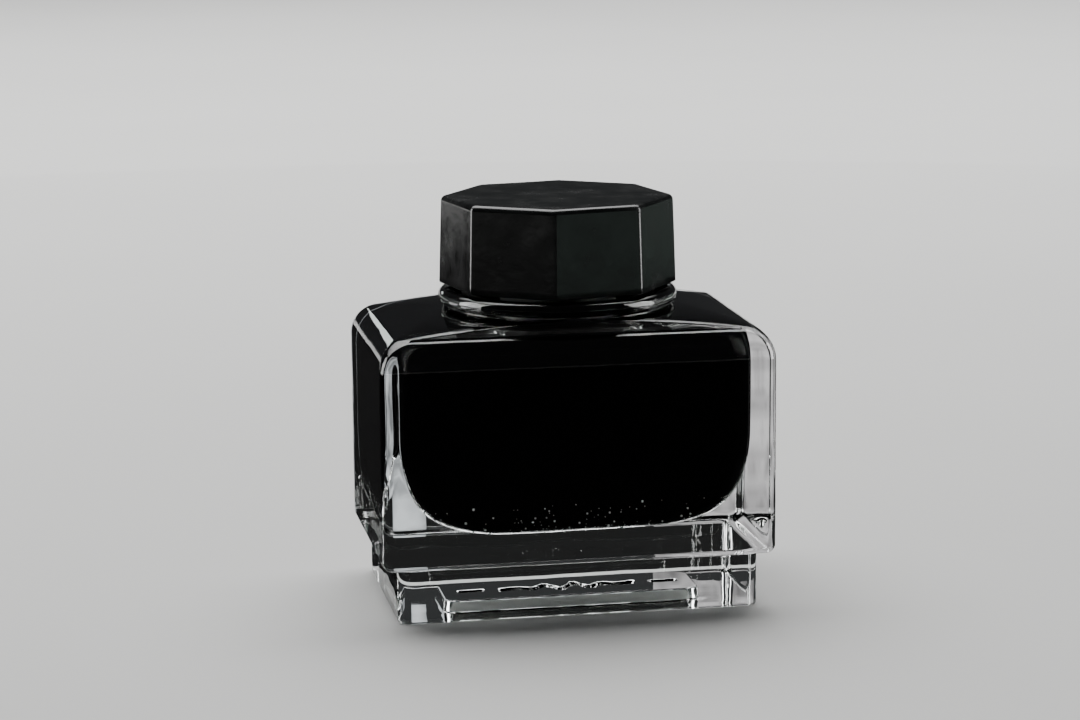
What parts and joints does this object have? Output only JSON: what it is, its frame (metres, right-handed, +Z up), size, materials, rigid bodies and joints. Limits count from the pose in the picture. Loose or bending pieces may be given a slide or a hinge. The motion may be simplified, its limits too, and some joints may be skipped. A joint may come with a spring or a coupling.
{
  "type": "ink bottle",
  "caption": "Rectangular clear glass ink bottle on a stepped base, with an octagonal black screw cap, a filling well in its neck and black ink inside.",
  "frame": {"origin": "middle of the flat face the bottle stands on, at the bottom of its box", "axes": "+X along the bottle's long side, +Y towards its back, +Z up along the neck and the cap's axis"},
  "size_m": [0.0658, 0.0432, 0.0679],
  "materials": {
    "clear_glass": "clear, polished, thick moulded glass with soft mould waviness and a faint cool green tint",
    "black_ink": "opaque black liquid that wets the glass, with a few tiny bubbles along its lower edge",
    "milky_plastic": "translucent milky moulded polypropylene, satin",
    "black_gloss_plastic": "glossy black moulded plastic with fine rub marks and slight sink on its facets",
    "black_matte_plastic": "satin black moulded plastic",
    "liner_foam": "off-white compressible sealing foam with a smooth skin, matt"
  },
  "bodies": {
    "bottle": {"glass_bottle": "clear_glass", "ink": "black_ink", "inkwell_insert": "milky_plastic"},
    "seal": {"cap_liner": "liner_foam"},
    "cap": {"cap_shell": "black_gloss_plastic", "cap_inner": "black_matte_plastic"}
  },
  "joints": [
    {"name": "cap_rise", "type": "slide", "parent": "bottle", "child": "seal", "axis": [0, 0, 1], "range_m": [0, 0.0144]},
    {"name": "cap_turn", "type": "hinge", "parent": "seal", "child": "cap", "pos_m": [0, 0, 0.06], "axis": [0, 0, 1], "range_deg": [0, 1440]}
  ],
  "couplings": [
    {"joint": "cap_rise", "follows": "cap_turn", "m_per_rad": 0.00057296}
  ]
}
